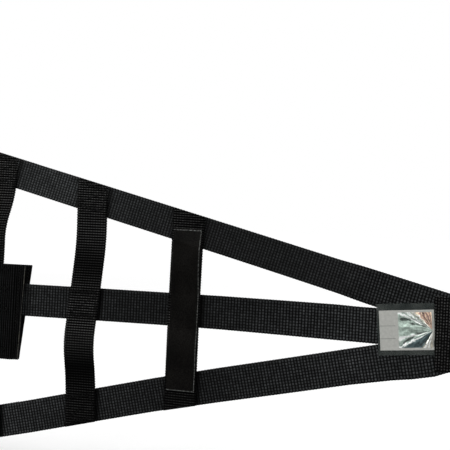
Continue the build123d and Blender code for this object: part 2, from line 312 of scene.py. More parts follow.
def fan_axes(up):
    """Directions of a slanted strap, to the rear along it and across it."""
    return Vector((-cos(fan[up]), 0, up * sin(fan[up]))), Vector((up * sin(fan[up]), 0, cos(fan[up])))


def even_route(corners, rib, ease=0.0012):
    """Rows along a line of corners, a whole number of ribs with four rows each, eased round the corners."""
    corners = np.array(corners, float)
    runs = np.linalg.norm(np.diff(corners, axis=0), axis=1)
    reach = np.concatenate(([-ease], np.concatenate(([0], np.cumsum(runs))), [runs.sum() + ease]))
    lead = corners[0] - (corners[1] - corners[0]) / runs[0] * ease
    tail = corners[-1] + (corners[-1] - corners[-2]) / runs[-1] * ease
    corners = np.vstack((lead, corners, tail))
    along = np.linspace(0, runs.sum(), rib_rows * round(runs.sum() / rib) + 1)
    eased = [
        np.column_stack([np.interp(along + shift, reach, corners[:, axis]) for axis in range(3)])
        for shift in np.linspace(-ease, ease, 9)
    ]
    return np.mean(eased, axis=0)


def strap_section(width, thick, columns, edge_steps=5):
    """Outline of a strap's cut end, with round edges, as rows of across, out and their outward direction."""
    flat = width / 2 - thick / 2
    face = np.linspace(-flat, flat, columns + 1)
    turn = np.linspace(pi / 2, -pi / 2, edge_steps + 1)[1:-1]
    front = [(a, thick / 2, 0.0, 1.0) for a in face]
    right = [(flat + thick / 2 * cos(t), thick / 2 * sin(t), cos(t), sin(t)) for t in turn]
    rear = [(a, -thick / 2, 0.0, -1.0) for a in face[::-1]]
    left = [(-flat - thick / 2 * cos(t), -thick / 2 * sin(t), -cos(t), -sin(t)) for t in turn]
    return np.array(front + right + rear + left)


def smooth_faces(bm):
    """Smooth shading on every face."""
    for side in bm.faces:
        side.smooth = True


def cut(bm, point, normal, clear=True):
    """Cut along a plane, and clear what lies past it."""
    every = bm.verts[:] + bm.edges[:] + bm.faces[:]
    bmesh.ops.bisect_plane(bm, geom=every, dist=1e-7, plane_co=point, plane_no=normal, clear_outer=clear)


def fill_holes(bm):
    """Close every open edge with a face, and give the new faces."""
    return bmesh.ops.holes_fill(bm, edges=[e for e in bm.edges if e.is_boundary], sides=0)["faces"]


def webbing(name, route, across, width, ridge, yarns, thick=web_t, cuts=(), hung=True):
    """Closed strap along a route: a rolled grid, raised on its ribs and yarns and cut at its ends."""
    across = np.array(across, float) / np.linalg.norm(across)
    section = strap_section(width, thick, 2 * yarns)
    rows = len(route) - 1
    bm = bmesh.new()
    bmesh.ops.create_grid(bm, x_segments=len(section), y_segments=rows, size=1)
    mesh = mesh_of(name, bm)
    co = np.empty(len(mesh.vertices) * 3)
    mesh.vertices.foreach_get("co", co)
    co = co.reshape(-1, 3)
    around = np.rint((co[:, 0] + 1) / 2 * len(section)).astype(int) % len(section)
    row = np.rint((co[:, 1] + 1) / 2 * rows).astype(int)
    ahead = np.gradient(route, axis=0)
    out = np.cross(across, ahead)
    out /= np.linalg.norm(out, axis=1)[:, None]
    a, o, na, no = section[around].T
    rib_at, yarn_at = row / rib_rows, (a / (width - thick) + 0.5) * yarns
    between = np.abs(yarn_at - np.rint(yarn_at)) < 0.01
    sunk = -ridge * (1 - np.abs(np.cos(pi * rib_at)) * np.where(between, between_rise, 1))
    placed = route[row] + across * (a + sunk * na)[:, None] + out[row] * (o + sunk * no)[:, None]
    mesh.vertices.foreach_set("co", placed.ravel())
    weave = mesh.attributes.new("weave", "FLOAT_VECTOR", "POINT")
    weave.data.foreach_set("vector", np.column_stack((rib_at, yarn_at, o / thick)).ravel())
    bm = bmesh.new()
    bm.from_mesh(mesh)
    bmesh.ops.remove_doubles(bm, verts=bm.verts, dist=1e-7)
    for point, normal in cuts:
        cut(bm, point, normal)
    smooth_faces(bm)
    for cap in fill_holes(bm):
        cap.smooth = False
    if hung:
        for v, place in zip(bm.verts, hang([v.co for v in bm.verts])):
            v.co = place
    bmesh.ops.recalc_face_normals(bm, faces=bm.faces)
    bm.to_mesh(mesh)
    bm.free()
    mesh.set_sharp_from_angle(angle=radians(50))
    return link_object(name, mesh)


def woven_nylon(name, lit, dip, pebble, gloss, rough, tightness, uneven, painted_light_by_station=(), run="X"):
    """Black nylon weave: warp yarns that dip between the ribs, with painted light on their crests and painted
    shade in the dips, darker again where stitched and where painted shade is marked.

    Painted light and shade along its run: each station, counted from -0.1 m, has its own tone, lighter where
    more light fell and darker where shade fell.
    """
    material, surface = shader(name)
    weave = new_node(surface, "ShaderNodeAttribute", attribute_name="weave").outputs["Vector"]
    sewn = new_node(surface, "ShaderNodeAttribute", attribute_name="sewn").outputs["Fac"]
    parts = axes_of(weave)
    crest = math("ABSOLUTE", math("COSINE", product(parts["X"], pi)))
    rib = math("FLOOR", math("ADD", parts["X"], 0.5))
    shift = product(math("FLOORED_MODULO", rib, 2.0), uneven * 0.35)
    yarn_at = math("ADD", parts["Y"], shift)
    yarn = math("ABSOLUTE", math("SINE", product(yarn_at, pi)))
    height = product(crest, span(yarn, 0.0, 0.8, 1 - pebble, 1.0))
    fibre = noise(stretched(weave, (2.0, 9.0, 1.0)), 1.0)
    relief(surface, math("MULTIPLY_ADD", fibre, 0.22, height), weave_deep)
    # Painted light on the rib crests and painted shade in the dips between them.
    shade = blend(math("POWER", height, tightness), (dip, dip, dip), lit)
    cell = node("ShaderNodeCombineXYZ", {0: rib, 1: math("FLOOR", yarn_at)}).outputs[0]
    chance = node("ShaderNodeTexWhiteNoise", {"Vector": cell}).outputs["Value"]
    place = object_place(surface)
    tone = product(
        span(chance, 0.0, 1.0, 1 - uneven, 1 + uneven),
        span(noise(place, 28.0, 3.0), 0.3, 0.7, 0.8, 1.2),
        span(fibre, 0.3, 0.7, 0.7, 1.3),
        span(sewn, 0.0, 1.0, 1.0, 0.12),
    )
    # Painted light and shade, a tone for each station along the run.
    if painted_light_by_station:
        along = math("ADD", axes_of(place)[run], 0.1)
        wear_and_painted_light = node("ShaderNodeValToRGB", {"Fac": along})
        ramp = wear_and_painted_light.color_ramp
        ramp.elements.remove(ramp.elements[1])
        for index, (station, grey) in enumerate(painted_light_by_station):
            stop = ramp.elements.new(station) if index else ramp.elements[0]
            stop.position, stop.color = station, (grey / 2, grey / 2, grey / 2, 1)
        tone = product(tone, product(wear_and_painted_light.outputs["Color"], 2.0))
    roughness = span(fibre, 0.0, 1.0, rough - 0.12, rough + 0.12)
    tint = scaled(shade, tone)
    put(surface, {"Base Color": tint, "Roughness": roughness, "Specular IOR Level": gloss})
    return material


def dress(piece, material, slot, body, *replaced):
    """Material, body and replaced CAD nodes of a finished piece. Its slot is not used."""
    piece.data.materials.clear()
    piece.data.materials.append(material)
    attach(piece, body)
    if replaced:
        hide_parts(*replaced)
    return piece


def bar_fold(bar, back, steps=8):
    """Points that turn round a bar from the outer side to the inner, on its far side from a direction."""
    away = -Vector(back)
    turns = np.linspace(-pi / 2, pi / 2, steps + 1)
    return [bar + away * bar_turn * cos(t) + Vector((0, bar_turn * sin(t), 0)) for t in turns]


# Painted light and shade along each strap: station along X, counted from -0.1 m, and its tone, above 1 where
# more light fell and below 1 where shade fell.
painted_light_by_station = {
    "top": (
        (0.20, 0.65), (0.235, 0.75), (0.25, 1.05), (0.32, 0.66), (0.36, 0.42), (0.39, 0.33), (0.46, 0.42),
        (0.50, 0.6), (0.54, 1.1),
    ),
    "middle": ((0.20, 0.9), (0.25, 1.0), (0.32, 0.67), (0.39, 0.56), (0.43, 0.85), (0.49, 1.7), (0.51, 1.35)),
    "bottom": ((0.20, 1.05), (0.25, 1.3), (0.31, 0.92), (0.39, 0.62), (0.42, 0.86), (0.51, 1.3)),
}
strap_nylon = {
    name: woven_nylon(
        f"{name}_nylon", (0.043, 0.046, 0.047), 0.0004, pebble=0.8, gloss=0.04, rough=0.5, tightness=1.9,
        uneven=0.3, painted_light_by_station=wear_and_painted_light,
    )
    for name, wear_and_painted_light in painted_light_by_station.items()
}
net_straps = []
strap_rib, strap_ridge, strap_yarns = 0.00235, 0.0002, 11
woven_w = strap_w + 2 * strap_ridge
outer_y, inner_y, strap_start = web_t * 0.5, web_t * 1.5, 0.008
for name, up in (("top", 1), ("bottom", -1)):
    back, across = fan_axes(up)
    start = Vector((fan_x[up], 0, mid_z))
    flat = start + back * (rear_bar[up] - loop_run)
    corners = [start + back * strap_start + Vector((0, outer_y, 0)), flat + Vector((0, outer_y, 0))]
    corners += bar_fold(start + back * rear_bar[up] + Vector((0, mid_y, 0)), -back)
    corners += [flat + Vector((0, inner_y, 0)), flat - back * loop_tail + Vector((0, inner_y, 0))]
    cuts = [((strap_end_x, 0, mid_z), (1, 0, 0)), ((0, 0, mid_z), (0, 0, -up))]
    route = even_route(corners, strap_rib)
    strap = webbing(f"{name}_strap_webbing", route, across, woven_w, strap_ridge, strap_yarns, cuts=cuts)
    covered = (f"{name}_strap", f"{name}_loop")
    net_straps.append(dress(strap, strap_nylon[name], "strap_webbing", "net", *covered))

# Middle strap
# The same 25 mm webbing, level. It starts behind the rear belt, where it is sewn between the belt's two
# layers, and steps behind the other two straps where they come together.
meet_x = min(fan_x[up] - strap_w / 2 * (1 + 1 / cos(fan[up])) / tan(fan[up]) for up in (1, -1))
middle_rear_x, middle_ease = 0.0928, 0.012
step_start, step_end = meet_x - 12 * web_t, meet_x - 3 * web_t
steps = ((middle_rear_x, outer_y), (step_start, outer_y), (step_end, inner_y), (strap_end_x, inner_y))
route = even_route([(x, y, mid_z) for x, y in steps], strap_rib, middle_ease)
strap = webbing("middle_strap_webbing", route, (0, 0, 1), woven_w, strap_ridge, strap_yarns)
net_straps.append(dress(strap, strap_nylon["middle"], "strap_webbing", "net", "middle_strap"))

# Uprights
# Three cross straps of the same width with a bolder rib, sewn over the outer side of the fan. The rear
# two have been pulled out of line between their seams, and all ends are cut along the fan's outer edges.
# Painted light and shade down the uprights: station up Z, counted from -0.1 m, and its tone, near black in
# the lower bay where shade fell.
upright_painted_light = (
    (0.02, 0.55), (0.045, 0.52), (0.062, 0.1), (0.086, 0.5), (0.094, 0.95), (0.108, 1.4), (0.118, 1.15),
    (0.14, 0.5), (0.17, 0.8), (0.20, 0.85),
)
upright_nylon = woven_nylon(
    "upright_nylon", (0.088, 0.088, 0.086), 0.0001, pebble=0.2, gloss=0.02, rough=0.5, tightness=11.0,
    uneven=0.12, painted_light_by_station=upright_painted_light, run="Z",
)
upright_rib, upright_ridge, upright_yarns = 0.00200, 0.00042, 11
upright_margin, upright_ease = 0.06, 0.011
# Top station, then how far the strap is pulled forward, in millimetres, at each share of the way from the
# middle strap up to the top edge (1) and down to the bottom edge (-1)
upright_lean = {
    "rear": (0.114, (
        (1.0, 0.0), (0.8, 0.6), (0.66, -1.0), (0.5, -7.6), (0.3, -7.2), (0.0, -8.3), (-0.4, -8.5),
        (-1.0, -3.0),
    )),
    "centre": (0.192, ((1.0, 0.0), (0.5, 1.2), (0.1, -2.0), (-0.34, -6.0), (-0.62, -2.4), (-1.0, -0.6))),
    "front": (0.2715, ((1.0, 0.0), (0.0, -0.4), (-1.0, 0.0))),
}
upright_route = {}
for which, (top_x, lean) in upright_lean.items():
    (top_share, top_shift), (low_share, low_shift) = lean[0], lean[-1]
    ends = ((top_share + upright_margin, top_shift), *lean, (low_share - upright_margin, low_shift))
    corners = []
    for share, shift in ends[::-1]:
        reach = edge_z(top_x, 1 if share > 0 else -1) - mid_z
        corners.append((top_x + shift / 1000, -outer_y, mid_z + abs(share) * reach))
    route = upright_route[which] = even_route(corners, upright_rib, upright_ease)
    cuts = [((top_x, 0, edge_z(top_x, up)), (sin(fan[up]), 0, up * cos(fan[up]))) for up in (1, -1)]
    name = f"{which}_upright"
    strap = webbing(f"{name}_webbing", route, (1, 0, 0), strap_w, upright_ridge, upright_yarns, cuts=cuts)
    net_straps.append(dress(strap, upright_nylon, "strap_webbing", "net", name))


def upright_x(which, z):
    """Station of an upright's middle at a height."""
    return np.interp(z, upright_route[which][:, 2], upright_route[which][:, 0])


# Stitching of the crossings
# Bonded black thread, lockstitched by machine: at each crossing two zigzag rows along the ends of the
# overlap, a straight row down one side and a slanted row across it, seen on both faces of the net but for the
# front upright's outer face.
thread_black, surface = shader("thread_black")
twist = noise(object_place(surface), 2600.0, 1.0)
strands = blend(twist, (0.0012, 0.0012, 0.0012), (0.010, 0.010, 0.010))
put(surface, {"Base Color": strands, "Roughness": 0.42, "Specular IOR Level": 0.06})
stitch_bm = bmesh.new()
bmesh.ops.create_uvsphere(stitch_bm, u_segments=6, v_segments=4, radius=1)
smooth_faces(stitch_bm)
one_stitch = mesh_of("stitch", stitch_bm)
outward, inward = Vector((0, -1, 0)), Vector((0, 1, 0))
press_reach, press_deep, stitch_share = 0.0009, 0.0005, 0.96


def stamp(bm, mesh, matrix):
    """Add a placed copy of a mesh."""
    placed = mesh.copy()
    placed.transform(matrix)
    bm.from_mesh(placed)
    bpy.data.meshes.remove(placed)


def mark_sewn_and_painted_shade(piece, pressed_and_painted_shade):
    """Mark how far each point of a woven piece is darkened by stitching and by painted shade, over what is
    marked already.
    """
    sewn = piece.data.attributes.get("sewn") or piece.data.attributes.new("sewn", "FLOAT", "POINT")
    before = np.empty(len(pressed_and_painted_shade))
    sewn.data.foreach_get("value", before)
    sewn.data.foreach_set("value", np.maximum(pressed_and_painted_shade, before))


def stitches(name, legs, body, slot="strap_webbing", radius=0.00028, pressed=(), hung=True):
    """One small rounded stitch for each leg. The pieces that the thread is pressed into sink under it, with
    painted shade in the sunk places.
    """
    bm = bmesh.new()
    thread = KDTree(4 * len(legs))
    for start, end, out in legs:
        if hung:
            start, end = (Vector(place) for place in hang((start, end)))
        for share in (0, 0.33, 0.67, 1):
            thread.insert(start.lerp(end, share), 0)
        ahead = (end - start).normalized()
        side = out.cross(ahead).normalized()
        turn = Matrix((side, ahead.cross(side), ahead)).transposed().to_4x4()
        size = Matrix.Diagonal((radius, radius, (end - start).length / 2 * stitch_share, 1))
        stamp(bm, one_stitch, Matrix.Translation((start + end) / 2) @ turn @ size)
    thread.balance()
    for piece in pressed:
        mesh = piece.data
        near = np.array([thread.find(v.co)[2] for v in mesh.vertices])
        # How far each point sinks under the thread; the same share is painted shade in the hollow.
        pressed_and_painted_shade = 1 - rise(near, 0.0, press_reach)
        for v, normal, share in zip(mesh.vertices, [v.normal.copy() for v in mesh.vertices], pressed_and_painted_shade):
            if share > 0:
                v.co -= normal * float(share) * press_deep
        mark_sewn_and_painted_shade(piece, pressed_and_painted_shade)
    return dress(link_object(name, mesh_of(name, bm)), thread_black, slot, body)


def straight_row(start, end, out, pitch=0.0032):
    """Legs of a straight row between two points."""
    start, end = Vector(start), Vector(end)
    count = max(1, round((end - start).length / pitch))
    return [(start.lerp(end, i / count), start.lerp(end, (i + 0.92) / count), out) for i in range(count)]


def zigzag_row(start, end, swing, out, pitch=0.0013):
    """Legs of a zigzag row between two points, swinging to each side of the line."""
    start, end, swing = Vector(start), Vector(end), Vector(swing)
    count = max(2, round((end - start).length / pitch))
    turns = [start.lerp(end, i / count) + swing * (1 if i % 2 else -1) for i in range(count + 1)]
    return [(a, b, out) for a, b in zip(turns, turns[1:])]


# Painted shade on the woven pieces, marked with the stitching's: on the uprights a dark band along each cut
# end, painted shade along the right edge and over the front one's crossings, and dark pits at every crossing;
# on the straps a painted shadow beside each upright.
seam_shade, cut_shade, edge_shade, pit_grain = 0.0050, 0.0024, 0.0013, 900
for strap in net_straps:
    places = np.array([v.co for v in strap.data.vertices])
    x, y, z = places.T
    pressed_and_painted_shade = np.zeros(len(x))
    if "upright" in strap.name:
        middle = upright_x(strap.name.split("_")[0], z)
        pits = np.array([spread.noise(Vector(place) * pit_grain) for place in places])
        crossed = 1 - rise(np.abs(z - mid_z), strap_w / 2 - 0.001, strap_w / 2)
        for up in (1, -1):
            inside = (edge_z(x, up) - z) * up * cos(fan[up])
            pressed_and_painted_shade = np.maximum(pressed_and_painted_shade, 1 - rise(inside, cut_shade / 2, cut_shade))
            crossed = np.maximum(crossed, 1 - rise(inside, strap_w - 0.001, strap_w))
        beside = middle + strap_w / 2 - x
        # Painted shade along an upright's right edge where it crosses a strap.
        pressed_and_painted_shade = np.maximum(pressed_and_painted_shade, crossed * (1 - rise(beside, 0, edge_shade)))
        # Painted shade over the front upright's crossings, and dark pits at every crossing.
        crossing_shade = np.where(z > mid_z, 0.45, 0.25) if "front" in strap.name else 0.0
        pressed_and_painted_shade = np.maximum(pressed_and_painted_shade, crossed * (crossing_shade + 0.75 * rise(pits, 0.14, 0.36)))
    else:
        for which in upright_lean:
            middle = upright_x(which, z)
            beside = x - middle - strap_w / 2
            # Painted shadow on the strap beside the upright's right edge, and a fainter one beside its left
            # edge.
            ahead = np.where(beside > -0.001, 1.6 * (1 - rise(beside, -0.001, seam_shade)), 0)
            behind = np.where(x < middle, 0.6 * (1 - rise(-beside - strap_w, 0, 0.002)), 0)
            pressed_and_painted_shade = np.maximum(pressed_and_painted_shade, np.maximum(ahead, behind))
    mark_sewn_and_painted_shade(strap, np.minimum(pressed_and_painted_shade, 1))
row_off, row_half, side_off, side_half, zigzag_swing = 0.0092, 0.0105, 0.0104, 0.007, 0.0015
loop_inset, loop_row_off, loop_swing = 0.003, 0.009, 0.0014
legs = []
for which in upright_lean:
    for up in (1, 0, -1):
        slope = up * fan[up] if up else 0
        level = mid_z
        if up:
            level = fan_z(upright_x(which, fan_z(upright_lean[which][0], up)), up)
        along, swing = Vector((cos(slope), 0, -sin(slope))), Vector((sin(slope), 0, cos(slope)))
        centre = Vector((upright_x(which, level), 0, level))
        for out, y in ((outward, -web_t), (inward, web_t)):
            if which == "front" and out is outward:
                continue
            middle = centre + Vector((0, y, 0))
            for row in (-row_off, row_off):
                ends = [middle + swing * row + along * end for end in (-row_half, row_half)]
                legs += zigzag_row(*ends, swing * zigzag_swing, out)
            for first, last in ((side_off, side_off), (side_off, -side_off)):
                ends = [middle + along * first + swing * side_half, middle + along * last - swing * side_half]
                legs += straight_row(*ends, out)
for up in (1, -1):
    back, swing = fan_axes(up)
    flat = Vector((fan_x[up], 0, mid_z)) + back * (rear_bar[up] - loop_run)
    for out, y, short in ((outward, 0.0, 0.022), (inward, 2 * web_t, 0.004)):
        seam = flat + Vector((0, y, 0))
        near, far = seam - back * loop_inset, seam - back * (loop_tail - short)
        for row in (-loop_row_off, loop_row_off):
            legs += straight_row(near + swing * row, far + swing * row, out)
        for stop in (near, far):
            ends = [stop - swing * loop_row_off, stop + swing * loop_row_off]
            legs += zigzag_row(*ends, back * loop_swing, out)
stitches("crossing_stitches", legs, "net", pressed=net_straps)

# Woven label
# A satin label down the front upright, with a light thread border along one side and across its ends.
# It is stitched down both long sides. Nothing is woven into its face.
label_w, label_l, label_t = 0.022, 0.125, 0.0006
label_x, label_z = 0.2716, 0.0107
border, line_w, hem, end_lines = 0.0003, 0.0005, 0.0014, (label_l / 2 - 0.0009, 0.001 - label_l / 2)
label_satin, surface = shader("label_satin")
place = object_place(surface)
axes = axes_of(place)


def band(position, middle, width, fade=0.00015):
    """1 in a thin band of a position, and 0 outside it."""
    off = math("ABSOLUTE", math("SUBTRACT", position, middle))
    return span(off, width / 2, width / 2 + fade, 1.0, 0.0)


lines = band(axes["X"], label_x + label_w / 2 - border, line_w)
for height in end_lines:
    lines = math("MAXIMUM", lines, band(axes["Z"], label_z + height, line_w))
picks = {"Vector": place, "Scale": 900.0, "Distortion": 1.5, "Detail": 1.0}
satin = node("ShaderNodeTexWave", picks, bands_direction="DIAGONAL").outputs["Fac"]
warp = {"Vector": place, "Scale": 520.0, "Distortion": 0.4}
warp = node("ShaderNodeTexWave", warp, bands_direction="X").outputs["Fac"]
rubbed, speckled = noise(place, 60.0, 3.0), noise(place, 1400.0, 2.0)
patch = product(span(rubbed, 0.3, 0.7, 0.4), warp, span(speckled, 0.35, 0.65, 0.2))
tone = blend(patch, (0.0004, 0.0004, 0.0005), (0.024, 0.0225, 0.020))
frayed = product(lines, span(noise(place, 900.0), 0.4, 0.6, 0.15, 1.0))
bordered = blend(frayed, tone, (0.125, 0.13, 0.125))
put(surface, {"Base Color": bordered, "Roughness": 0.5, "Specular IOR Level": 0.02})
relief(surface, math("MULTIPLY_ADD", warp, 0.6, satin), 0.00008)
label_y = -web_t - label_t / 2
heights = np.linspace(label_z - label_l / 2, label_z + label_l / 2, 40)
route = even_route([(label_x, label_y, z) for z in heights], 0.004)
label = webbing("label_satin_band", route, (1, 0, 0), label_w, 0.0, 8, thick=label_t)
dress(label, label_satin, "label_satin", "net", "upright_label")
legs = []
for side in (-1, 1):
    x = label_x + side * (label_w / 2 - hem)
    low, high = (Vector((x, -web_t - label_t, z)) for z in (heights[0] + 0.002, heights[-1] - 0.002))
    legs += straight_row(low, high, outward, 0.0028)
stitches("label_stitches", legs, "net", "label_satin", 0.00014)

# Foil tag on its clear film
# A pale tag with a crinkled metal foil let into its right part, under a clear film that is stuck to the
# straps where they come together. Its print is left off. The foil puckers towards its right edge.
tag_w, tag_h, tag_t, tag_turn = 0.039, 0.029, 0.0004, radians(5.2)
tag_at, film_at = (0.439, 0.0081), (0.4383, 0.0086)
film_w, film_h, film_t = 0.041, 0.0375, 0.0004
front_edge_x, front_z, front_skew = 0.4585, 0.007, radians(2.8)
foil_left, foil_rim, foil_round, fold_deep = -0.0063, 0.0014, 0.0006, 0.0004
rule_w, rule_heights = 0.0002, (0.0033, -0.0060)
pucker = Vector((tag_w / 2 - 0.001, -0.0007))
clear_film, surface = shader("clear_film")
cloud = span(noise(object_place(surface), 70.0, 2.0), 0.35, 0.7)
clouded = blend(cloud, (0.022, 0.030, 0.028), (0.075, 0.085, 0.078))
put(surface, {"Base Color": clouded, "Roughness": 0.22, "Specular IOR Level": 0.5, "Alpha": 0.6})
relief(surface, noise(object_place(surface), 50.0, 1.0), 0.0003)


def thin_sheet(name, centre, width, height, back_y, thick, columns, rows, lift):
    """Thin turned sheet, cut at the front strap, whose front face is lifted by a rule of across and up."""
    bm = bmesh.new()
    bmesh.ops.create_grid(bm, x_segments=columns, y_segments=rows, size=1)
    spot = bm.verts.layers.float_vector.new("spot")
    for v in bm.verts:
        v[spot] = (v.co.x * width / 2, v.co.y * height / 2, 0)
    front = bmesh.ops.extrude_face_region(bm, geom=bm.faces[:])
    raised = {g for g in front["geom"] if isinstance(g, bmesh.types.BMVert)}
    for v in bm.verts:
        across, up = v[spot].x, v[spot].y
        v.co.x = centre[0] + across * cos(tag_turn) - up * sin(tag_turn)
        v.co.y = back_y - (thick + lift(across, up) if v in raised else 0)
        v.co.z = centre[1] + across * sin(tag_turn) + up * cos(tag_turn)
    cut(bm, (front_edge_x - 0.0001, 0, front_z), (cos(front_skew), 0, sin(front_skew)))
    fill_holes(bm)
    smooth_faces(bm)
    bmesh.ops.recalc_face_normals(bm, faces=bm.faces)
    mesh = mesh_of(name, bm)
    mesh.set_sharp_from_angle(angle=radians(45))
    return link_object(name, mesh)


def film_wave(across, up):
    """Slight cockle of the film."""
    return 0.00012 * sin(across * 900) * sin(up * 700 + across * 300)


def crinkle(across, up):
    """Folds of the foil that fan out from its pucker, deepest near it, and nothing on the plain part."""
    dx, dz = across - pucker.x, up - pucker.y
    reach, turn = hypot(dx, dz), atan2(dz, -dx)
    inside = min(rise(across, foil_left, foil_left + 0.002), rise(tag_h / 2 - foil_rim - abs(up), 0, 0.001))
    fold = 0.5 * sin(turn * 9 + 0.6) + 0.3 * sin(turn * 17 + 2 * sin(reach * 240))
    fold += 0.2 * sin(turn * 31 + reach * 500)
    return fold_deep * inside * fold * min(1, reach / 0.004)


film = thin_sheet("tag_film_sheet", film_at, film_w, film_h, -0.00005, film_t, 24, 20, film_wave)
dress(film, clear_film, "clear_film", "net", "tag_film")

tag_foil, surface = shader("tag_foil")
spot = new_node(surface, "ShaderNodeAttribute", attribute_name="spot").outputs["Vector"]
axes = axes_of(spot)
from_left = math("SUBTRACT", axes["X"], foil_left)
from_right = math("SUBTRACT", tag_w / 2 - foil_rim, axes["X"])
from_end = math("SUBTRACT", tag_h / 2 - foil_rim, math("ABSOLUTE", axes["Y"]))
inside = math("MINIMUM", math("MINIMUM", from_left, from_right), from_end)
foil = span(inside, 0.0, foil_round)
swirl = span(noise(spot, 260.0, 3.0, 0.6), 0.0, 1.0, -0.05, 0.05)
above, left_of = math("SUBTRACT", axes["Y"], pucker.y), math("SUBTRACT", pucker.x, axes["X"])
fan_turn = math("ARCTAN2", above, left_of)
bent = math("ADD", span(fan_turn, -pi / 2, pi / 2), swirl)


def folds(lines):
    """1 along each fold that leaves the pucker, from its direction and half its width in degrees, else 0."""
    crest = 0.0
    for degrees, half in lines:
        off = math("ABSOLUTE", math("SUBTRACT", bent, degrees / 180 + 0.5))
        crest = math("MAXIMUM", crest, span(off, 0.0, half / 180, 1.0, 0.0))
    return crest


cool_dark, cool_pale = (0.080, 0.115, 0.120), (0.36, 0.44, 0.39)
warm_pale, warm_dark = (0.70, 0.52, 0.38), (0.22, 0.12, 0.13)
hue = blend(span(bent, 0.33, 0.40), cool_dark, cool_pale)
hue = blend(span(bent, 0.72, 0.79), hue, warm_pale)
hue = blend(span(bent, 0.16, 0.20, 1.0, 0.0), hue, (0.34, 0.32, 0.27))
hue = blend(folds(((54, 3), (61, 4), (70, 4), (79, 4))), hue, warm_dark)
# Painted highlights along the folds that face the light.
painted_highlight_folds = folds(((-73, 6), (-63, 4), (-26, 3), (-13, 4), (30, 3), (37, 3), (47, 3)))
hue = blend(painted_highlight_folds, hue, (0.96, 1.0, 0.96))
reach = distance(spot, (*pucker, 0))
# Painted light and shade on the foil's facets: by fold, lighter away from the pucker, and by facet.
fold = {0: product(fan_turn, 7.0), 1: product(reach, 150.0)}
fold = noise(node("ShaderNodeCombineXYZ", fold).outputs[0], 1.0, 4.0, 0.3)
facet = node("ShaderNodeTexVoronoi", {"Vector": spot, "Scale": 620.0, "Detail": 1.0}).outputs["Color"]
painted_facet_light = product(
    span(fold, 0.3, 0.7, 0.55, 1.5),
    span(reach, 0.006, 0.024, 0.85, 1.2),
    span(axes_of(facet)["X"], 0.0, 1.0, 0.72, 1.35),
)
paper = blend(noise(spot, 500.0, 3.0), (0.37, 0.375, 0.35), (0.58, 0.585, 0.55))
rules = math("MAXIMUM", *(band(axes["Y"], height, rule_w) for height in rule_heights))
rules = product(rules, span(axes["X"], -0.0084, -0.0081, 0.7, 0.0))
paper = blend(rules, paper, (0.06, 0.06, 0.06))
put(surface, {
    "Base Color": blend(foil, paper, scaled(hue, painted_facet_light)),
    "Metallic": product(foil, 0.75),
    "Roughness": span(foil, 0.0, 1.0, 0.55, 0.3),
    "Specular IOR Level": 0.25,
})
tag = thin_sheet("foil_tag_sheet", tag_at, tag_w, tag_h, -film_t + 0.0001, tag_t, 120, 90, crinkle)
dress(tag, tag_foil, "tag_foil", "net", "foil_tag")

# Front strap
# 54 mm webbing folded round the tongue's bar, its two layers closed over the ends of the three straps
# and sewn through them with a wide box of zigzag and straight rows.
front_w, tongue_x, front_spare = 0.054, 0.542, 0.004
wide_rib, wide_ridge, wide_yarns = 0.0020, 0.00012, 24
wide_nylon = woven_nylon(
    "wide_nylon", (0.053, 0.053, 0.052), 0.0002, pebble=1.5, gloss=0.03, rough=0.52, tightness=3.8,
    uneven=0.45,
)
near_y, deep_y = -web_t / 2, 2.5 * web_t
corners = [(front_edge_x - front_spare, near_y, front_z), (strap_end_x, near_y, front_z)]
corners += bar_fold(Vector((tongue_x, mid_y, front_z)), (-1, 0, 0))
corners += [(strap_end_x, deep_y, front_z), (front_edge_x - front_spare, deep_y, front_z)]
cuts = [((front_edge_x, 0, front_z), (-cos(front_skew), 0, -sin(front_skew)))]
route = even_route(corners, wide_rib)
wide = ((0, 0, 1), front_w, wide_ridge, wide_yarns)
front_strap = webbing("front_strap_webbing", route, *wide, cuts=cuts, hung=False)
dress(front_strap, wide_nylon, "front_webbing", "net", "front_strap")
box_half, box_inner, cross_half = 0.0235, 0.0195, 0.0185


def seam_box(from_x, columns, swing, run, y, out):
    """Legs of a box of stitching on wide webbing: zigzag rows at stations, and straight rows along a run."""
    rows = []
    for x in columns:
        ends = [(from_x + x, y, front_z + half) for half in (-box_half, box_half)]
        rows += zigzag_row(*ends, (swing, 0, 0), out)
    for z in (-box_half, -box_inner, box_inner, box_half):
        rows += straight_row(*((from_x + x, y, front_z + z) for x in run), out)
    return rows


legs = []
box_columns, box_run = (0.0145, 0.0185, 0.040, 0.044), (0.020, 0.0385)
for out, y in ((outward, -web_t), (inward, 3 * web_t)):
    legs += seam_box(front_edge_x, box_columns, 0.0014, box_run, y, out)
    for slant in (-cross_half, cross_half):
        ends = [(front_edge_x + x, y, front_z + z) for x, z in zip(box_run, (-slant, slant))]
        legs += straight_row(*ends, out)
stitches("front_strap_stitches", legs, "net", "front_webbing", pressed=(front_strap,), hung=False)

# Rear belt
# 76 mm webbing with an upright rib, sewn over the rear upright and the middle strap. It wraps an upright
# tube and comes back along the inner side, where its end meets the tail.
belt_w, belt_rib, belt_ridge, belt_yarns = 0.0762, 0.00178, 0.0002, 34
tube_path = 0.0222 + web_t / 2
belt_nylon = woven_nylon(
    "belt_nylon", (0.0165, 0.0170, 0.0175), 0.0001, pebble=0.15, gloss=0.02, rough=0.55, tightness=7.0,
    uneven=0.2,
)
far_x, run_y = 0.088, 1.5 * web_t
step_x, outer_x, step_run = 0.1292, 0.0903, 0.003
belt_end, belt_skew = 0.1371, radians(2.4)
tail_end, tail_skew = 0.1383, radians(5.8)
touch = atan2(run_y, far_x) + pi / 2 - asin(tube_path / hypot(far_x, run_y))
far_start = Vector((far_x, run_y, 0))
far_along = (Vector((tube_path * cos(touch), tube_path * sin(touch), 0)) - far_start).normalized()
far_out = Vector((0, 0, -1)).cross(far_along)
